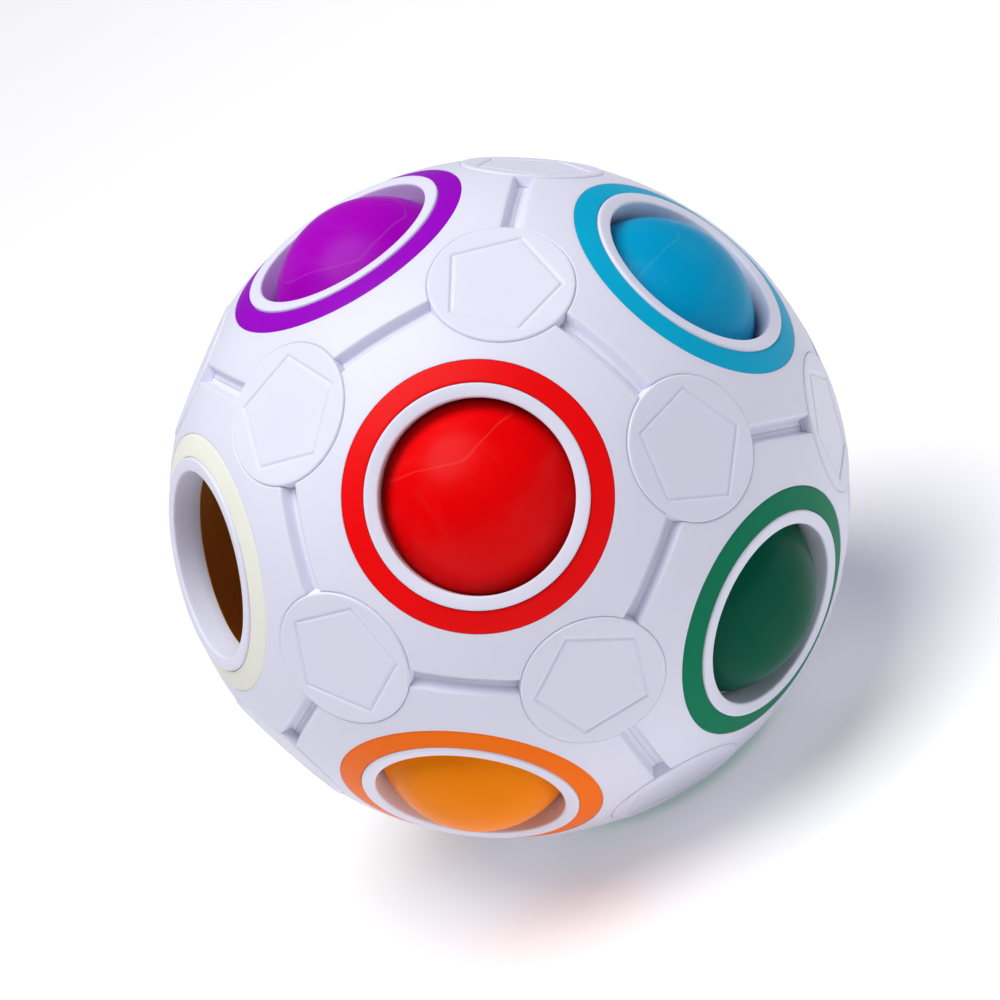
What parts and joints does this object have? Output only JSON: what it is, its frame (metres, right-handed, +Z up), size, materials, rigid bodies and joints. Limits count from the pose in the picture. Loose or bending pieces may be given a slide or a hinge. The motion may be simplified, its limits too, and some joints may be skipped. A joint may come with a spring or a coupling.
{
  "type": "ball-shifting sphere puzzle",
  "caption": "Hollow sphere puzzle with a round hole in each five-sided panel and loose coloured balls that are pressed in and shifted round a core to the empty hole.",
  "frame": {"origin": "on the surface the puzzle stands on, under the sphere's centre, in the plane of the bottom hole's rim", "axes": "+Z up through the purple hole; -Y towards the red hole, which is in the upper row of five"},
  "size_m": [0.0696, 0.0698, 0.0695],
  "materials": {
    "shell_white": "satin moulded ABS with a faint cool tint",
    "cap_white": "satin moulded ABS",
    "inner_white": "as moulded",
    "core_grey": "as moulded, lightly scuffed",
    "screw_steel": "zinc plated",
    "ring_purple": "satin moulded ABS",
    "ring_red": "satin moulded ABS",
    "ring_blue": "satin moulded ABS",
    "ring_lime": "satin moulded ABS",
    "ring_yellow": "satin moulded ABS",
    "ring_white": "satin moulded ABS",
    "ring_green": "satin moulded ABS",
    "ring_navy": "satin moulded ABS",
    "ring_pink": "satin moulded ABS",
    "ring_amber": "satin moulded ABS",
    "ring_orange": "satin moulded ABS",
    "ring_teal": "satin moulded ABS",
    "ball_purple": "smooth moulded ABS with fine handling marks",
    "ball_red": "smooth moulded ABS with fine handling marks",
    "ball_blue": "smooth moulded ABS with fine handling marks",
    "ball_lime": "smooth moulded ABS with fine handling marks",
    "ball_yellow": "smooth moulded ABS with fine handling marks",
    "ball_green": "smooth moulded ABS with fine handling marks",
    "ball_navy": "smooth moulded ABS with fine handling marks",
    "ball_pink": "smooth moulded ABS with fine handling marks",
    "ball_amber": "smooth moulded ABS with fine handling marks",
    "ball_orange": "smooth moulded ABS with fine handling marks",
    "ball_teal": "smooth moulded ABS with fine handling marks"
  },
  "bodies": {
    "shell": {"panel_purple": "shell_white", "panel_red": "shell_white", "panel_blue": "shell_white", "panel_lime": "shell_white", "panel_yellow": "shell_white", "panel_white": "shell_white", "panel_green": "shell_white", "panel_navy": "shell_white", "panel_pink": "shell_white", "panel_amber": "shell_white", "panel_orange": "shell_white", "panel_teal": "shell_white", "ring_purple": "ring_purple", "ring_red": "ring_red", "ring_blue": "ring_blue", "ring_lime": "ring_lime", "ring_yellow": "ring_yellow", "ring_white": "ring_white", "ring_green": "ring_green", "ring_navy": "ring_navy", "ring_pink": "ring_pink", "ring_amber": "ring_amber", "ring_orange": "ring_orange", "ring_teal": "ring_teal", "corner_cap_1": "cap_white", "corner_cap_2": "cap_white", "corner_cap_3": "cap_white", "corner_cap_4": "cap_white", "corner_cap_5": "cap_white", "corner_cap_6": "cap_white", "corner_cap_7": "cap_white", "corner_cap_8": "cap_white", "corner_cap_9": "cap_white", "corner_cap_10": "cap_white", "corner_cap_11": "cap_white", "corner_cap_12": "cap_white", "corner_cap_13": "cap_white", "corner_cap_14": "cap_white", "corner_cap_15": "cap_white", "corner_cap_16": "cap_white", "corner_cap_17": "cap_white", "corner_cap_18": "cap_white", "corner_cap_19": "cap_white", "corner_cap_20": "cap_white", "corner_retainers": "inner_white", "corner_screws": "screw_steel"},
    "core": {"core_ball": "core_grey"},
    "purple_ball": {"ball_purple": "ball_purple"},
    "red_ball": {"ball_red": "ball_red"},
    "blue_ball": {"ball_blue": "ball_blue"},
    "lime_ball": {"ball_lime": "ball_lime"},
    "yellow_ball": {"ball_yellow": "ball_yellow"},
    "green_ball": {"ball_green": "ball_green"},
    "navy_ball": {"ball_navy": "ball_navy"},
    "pink_ball": {"ball_pink": "ball_pink"},
    "amber_ball": {"ball_amber": "ball_amber"},
    "orange_ball": {"ball_orange": "ball_orange"},
    "teal_ball": {"ball_teal": "ball_teal"}
  },
  "joints": [
    {"name": "purple_press", "type": "slide", "parent": "shell", "child": "purple_ball", "axis": [0, 0, -1], "range_m": [0, 0.00483]},
    {"name": "red_press", "type": "slide", "parent": "shell", "child": "red_ball", "axis": [0, 0.8944, -0.4472], "range_m": [0, 0.00483]},
    {"name": "blue_press", "type": "slide", "parent": "shell", "child": "blue_ball", "axis": [-0.8507, 0.2764, -0.4472], "range_m": [0, 0.00483]},
    {"name": "lime_press", "type": "slide", "parent": "shell", "child": "lime_ball", "axis": [-0.5257, -0.7236, -0.4472], "range_m": [0, 0.00483]},
    {"name": "green_press", "type": "slide", "parent": "shell", "child": "green_ball", "axis": [-0.5257, 0.7236, 0.4472], "range_m": [0, 0.00483]},
    {"name": "navy_press", "type": "slide", "parent": "shell", "child": "navy_ball", "axis": [-0.8507, -0.2764, 0.4472], "range_m": [0, 0.00483]},
    {"name": "pink_press", "type": "slide", "parent": "shell", "child": "pink_ball", "axis": [0, -0.8944, 0.4472], "range_m": [0, 0.00483]},
    {"name": "amber_press", "type": "slide", "parent": "shell", "child": "amber_ball", "axis": [0.8507, -0.2764, 0.4472], "range_m": [0, 0.00483]},
    {"name": "orange_press", "type": "slide", "parent": "shell", "child": "orange_ball", "axis": [0.5257, 0.7236, 0.4472], "range_m": [0, 0.00483]},
    {"name": "teal_press", "type": "slide", "parent": "shell", "child": "teal_ball", "axis": [0, 0, 1], "range_m": [-0.00309, 0.00174]},
    {"name": "core_roll", "type": "hinge", "parent": "shell", "child": "core", "pos_m": [0, 0, 0.03322], "axis": [0.5, -0.1625, 0.8507], "range_deg": [0, 63.44]},
    {"name": "yellow_pop", "type": "slide", "parent": "core", "child": "yellow_ball", "axis": [-0.5257, 0.7236, 0.4472], "range_m": [0, 0.00483]}
  ]
}
